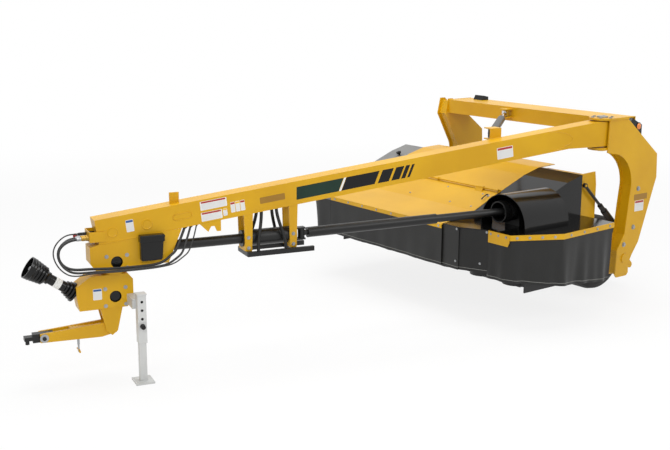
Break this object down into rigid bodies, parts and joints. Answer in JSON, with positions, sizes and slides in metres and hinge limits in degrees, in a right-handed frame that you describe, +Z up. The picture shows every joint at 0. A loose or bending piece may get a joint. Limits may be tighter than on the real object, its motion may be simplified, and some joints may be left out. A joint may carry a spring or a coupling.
{
  "type": "mower conditioner",
  "caption": "Trailed disc mower conditioner: swinging box tongue with a swivel gearbox hitch, arched frame on wheels, hooded cutting header with curtains.",
  "frame": {"origin": "on the floor under the middle of the machine's bounding box", "axes": "+X to the machine's left, +Y to its rear, away from the hitch, +Z up"},
  "size_m": [3.056, 6.2709, 1.905],
  "materials": {
    "yellow_paint": "gloss",
    "black_gloss": "gloss",
    "black_paint": "satin",
    "black_plastic": "matte",
    "curtain": "matte",
    "grey_plastic": "matte",
    "chrome": "polished",
    "steel": "satin",
    "tyre": "matte"
  },
  "bodies": {
    "frame": {"leg_left": "yellow_paint", "leg_right": "yellow_paint", "beam": "yellow_paint", "pivot_plates": "yellow_paint", "pivot_pin": "steel", "wheel_arm_left": "yellow_paint", "wheel_arm_right": "yellow_paint", "lift_cylinder_left": "black_paint", "lift_cylinder_right": "black_paint", "header_link_left": "yellow_paint", "header_link_right": "yellow_paint", "strut": "black_paint", "lamps": "black_plastic", "header_frame": "black_paint", "cutterbar": "black_paint", "skid_shoes": "black_paint", "hood_far": "grey_plastic", "hood_middle": "yellow_paint", "curtain_far": "curtain", "deck_near": "black_gloss", "curtain_flaps": "curtain", "curtain_near": "curtain", "trim_near": "yellow_paint", "drive_shield": "black_gloss", "header_gearbox": "black_paint", "swath_chute": "yellow_paint"},
    "tongue": {"tongue": "yellow_paint", "swing_bracket": "yellow_paint", "gearbox_upper": "yellow_paint", "shaft_carriers": "yellow_paint", "shaft_front": "black_paint", "shaft_guard": "black_paint", "manual_box": "black_plastic"},
    "swivel": {"gearbox_lower": "yellow_paint", "jack_sleeve": "steel", "pto_guard": "black_plastic"},
    "fork": {"hitch_fork": "yellow_paint", "hitch_block": "steel"},
    "jack": {"jack_leg": "steel"},
    "swing_barrel": {"swing_barrel": "black_paint"},
    "swing_rod": {"swing_rod": "chrome"},
    "drive_rear": {"shaft_rear": "black_paint"},
    "drive_slip": {"shaft_slip": "black_paint"},
    "cover": {"front_cover": "yellow_paint", "curtain_cover": "curtain"},
    "wheel_left": {"tyre_left": "tyre", "rim_left": "yellow_paint"},
    "wheel_right": {"tyre_right": "tyre", "rim_right": "yellow_paint"},
    "roll_lower": {"roll_lower": "steel"},
    "roll_upper": {"roll_upper": "steel"},
    "disc_1": {"disc_1": "steel"},
    "disc_2": {"disc_2": "steel"},
    "disc_3": {"disc_3": "steel"},
    "disc_4": {"disc_4": "steel"},
    "disc_5": {"disc_5": "steel"},
    "disc_6": {"disc_6": "steel"}
  },
  "joints": [
    {"name": "tongue_swing", "type": "hinge", "parent": "frame", "child": "tongue", "pos_m": [1.16195, 2.24354, 1.7], "axis": [0, 0, 1], "range_deg": [0, 24]},
    {"name": "hitch_swivel", "type": "hinge", "parent": "tongue", "child": "swivel", "pos_m": [0.07629, -2.42181, 0.85], "axis": [0, 0, 1], "range_deg": [-90, 90]},
    {"name": "fork_pitch", "type": "hinge", "parent": "swivel", "child": "fork", "pos_m": [0.06722, -2.46077, 0.4], "axis": [0.974, -0.2267, 0], "range_deg": [-12, 12]},
    {"name": "jack_slide", "type": "slide", "parent": "swivel", "child": "jack", "axis": [0, 0, 1], "range_m": [0, 0.25]},
    {"name": "swing_barrel_turn", "type": "hinge", "parent": "tongue", "child": "swing_barrel", "pos_m": [0.75521, 1.15746, 1.77], "axis": [0, 0, 1], "range_deg": [-14.66, 0]},
    {"name": "swing_rod_slide", "type": "slide", "parent": "swing_barrel", "child": "swing_rod", "axis": [-0.6318, 0.775, 0.0129], "range_m": [0, 0.3918]},
    {"name": "drive_turn", "type": "hinge", "parent": "tongue", "child": "drive_rear", "pos_m": [0.448, -0.82449, 1.025], "axis": [0, 0, 1], "range_deg": [0, 14.11]},
    {"name": "drive_slide", "type": "slide", "parent": "drive_rear", "child": "drive_slip", "axis": [0.2674, 0.9634, 0.0204], "range_m": [0, 0.111]},
    {"name": "cover_open", "type": "hinge", "parent": "frame", "child": "cover", "pos_m": [-0.02805, 1.51954, 1.147], "axis": [-1, 0, 0], "range_deg": [0, 70]},
    {"name": "wheel_left_spin", "type": "hinge", "parent": "frame", "child": "wheel_left", "pos_m": [0.66195, 2.74354, 0.392], "axis": [1, 0, 0], "continuous": true},
    {"name": "wheel_right_spin", "type": "hinge", "parent": "frame", "child": "wheel_right", "pos_m": [-0.71805, 2.74354, 0.392], "axis": [1, 0, 0], "continuous": true},
    {"name": "roll_lower_spin", "type": "hinge", "parent": "frame", "child": "roll_lower", "pos_m": [-0.02805, 1.91353, 0.62], "axis": [1, 0, 0], "continuous": true},
    {"name": "roll_upper_spin", "type": "hinge", "parent": "frame", "child": "roll_upper", "pos_m": [-0.02805, 1.94354, 0.862], "axis": [1, 0, 0], "continuous": true},
    {"name": "disc_1_spin", "type": "hinge", "parent": "frame", "child": "disc_1", "pos_m": [-1.10305, 1.28354, 0.415], "axis": [0, 0, 1], "continuous": true},
    {"name": "disc_2_spin", "type": "hinge", "parent": "frame", "child": "disc_2", "pos_m": [-0.67305, 1.28354, 0.415], "axis": [0, 0, 1], "continuous": true},
    {"name": "disc_3_spin", "type": "hinge", "parent": "frame", "child": "disc_3", "pos_m": [-0.24305, 1.28354, 0.415], "axis": [0, 0, 1], "continuous": true},
    {"name": "disc_4_spin", "type": "hinge", "parent": "frame", "child": "disc_4", "pos_m": [0.18695, 1.28354, 0.415], "axis": [0, 0, 1], "continuous": true},
    {"name": "disc_5_spin", "type": "hinge", "parent": "frame", "child": "disc_5", "pos_m": [0.61695, 1.28354, 0.415], "axis": [0, 0, 1], "continuous": true},
    {"name": "disc_6_spin", "type": "hinge", "parent": "frame", "child": "disc_6", "pos_m": [1.04695, 1.28354, 0.415], "axis": [0, 0, 1], "continuous": true}
  ],
  "couplings": [
    {"joint": "swing_barrel_turn", "follows": "tongue_swing", "ratio": -0.59892},
    {"joint": "swing_rod_slide", "follows": "tongue_swing", "m_per_rad": 0.91701},
    {"joint": "drive_turn", "follows": "tongue_swing", "ratio": 0.57649},
    {"joint": "drive_slide", "follows": "tongue_swing", "m_per_rad": 0.2598},
    {"joint": "roll_upper_spin", "follows": "roll_lower_spin", "ratio": -1},
    {"joint": "disc_2_spin", "follows": "disc_1_spin", "ratio": -1},
    {"joint": "disc_3_spin", "follows": "disc_1_spin", "ratio": 1},
    {"joint": "disc_4_spin", "follows": "disc_1_spin", "ratio": -1},
    {"joint": "disc_5_spin", "follows": "disc_1_spin", "ratio": 1},
    {"joint": "disc_6_spin", "follows": "disc_1_spin", "ratio": -1}
  ]
}
